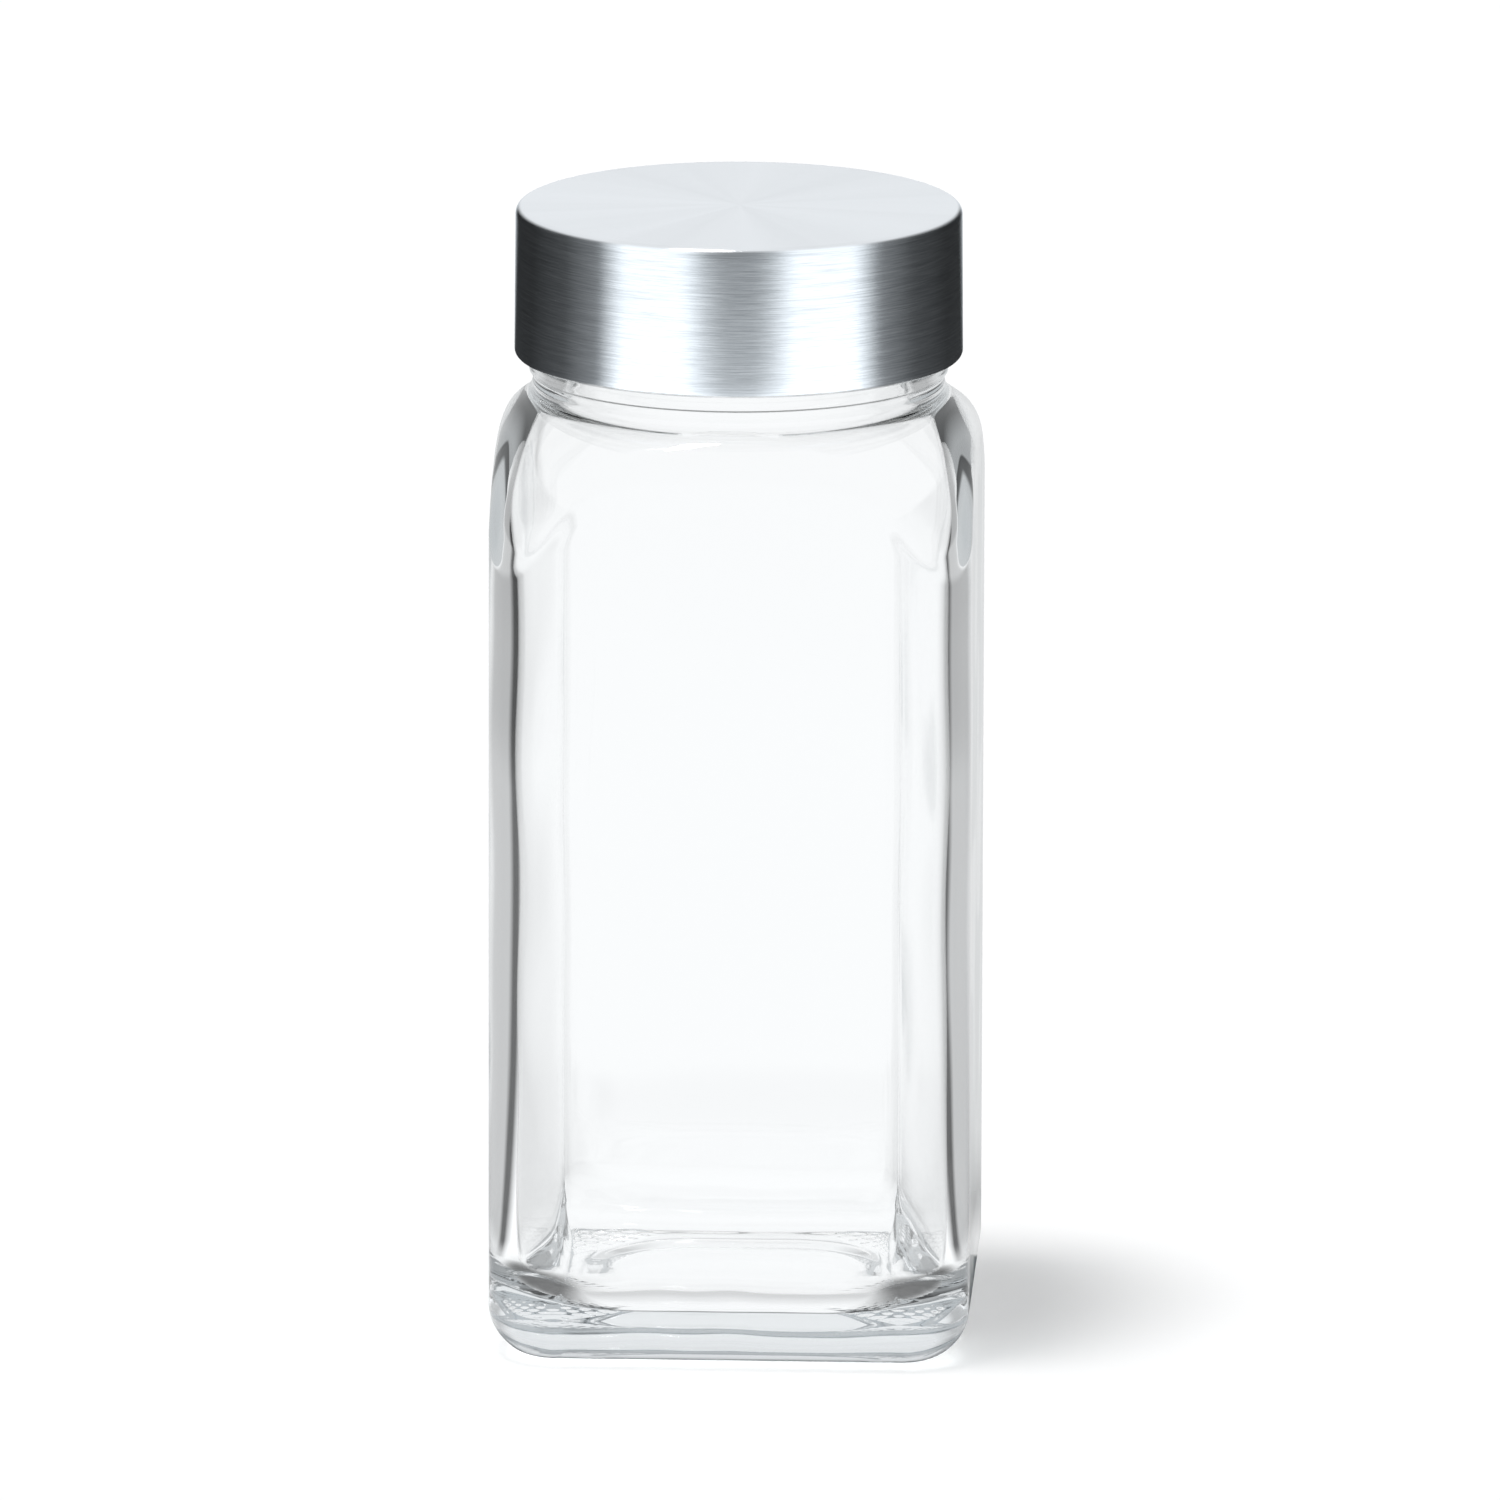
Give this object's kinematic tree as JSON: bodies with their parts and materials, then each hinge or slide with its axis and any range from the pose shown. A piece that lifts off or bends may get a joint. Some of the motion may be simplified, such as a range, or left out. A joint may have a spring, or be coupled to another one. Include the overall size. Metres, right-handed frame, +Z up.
{
  "type": "spice jar",
  "caption": "Square jar of clear glass with a rounded shoulder and a screw cap: a brushed steel shell over a plastic insert and a sealing liner. Keeps ground or whole spices dry.",
  "frame": {"origin": "centre of the base, on the surface that the jar stands on", "axes": "+Z is up along the jar, -Y points out of the front face, +X is to the right seen from the front"},
  "size_m": [0.0494, 0.0494, 0.117],
  "materials": {
    "clear_glass": "clear, nearly colourless moulded glass with fire-polished surfaces",
    "brushed_cap_steel": "stainless sheet, brushed round the side and spun on the top",
    "insert_plastic": "natural white injection-moulded polypropylene",
    "liner_foam": "smooth skin of foamed polyethylene"
  },
  "bodies": {
    "jar": {"jar_body": "clear_glass"},
    "liner": {"cap_liner": "liner_foam"},
    "cap": {"cap_shell": "brushed_cap_steel", "cap_insert": "insert_plastic"}
  },
  "joints": [
    {"name": "cap_lift", "type": "slide", "parent": "jar", "child": "liner", "axis": [0, 0, 1], "range_m": [0, 0.018]},
    {"name": "cap_turn", "type": "hinge", "parent": "liner", "child": "cap", "pos_m": [0, 0, 0.11], "axis": [0, 0, 1], "range_deg": [0, 720]}
  ],
  "couplings": [
    {"joint": "cap_lift", "follows": "cap_turn", "m_per_rad": 0.0014323}
  ]
}
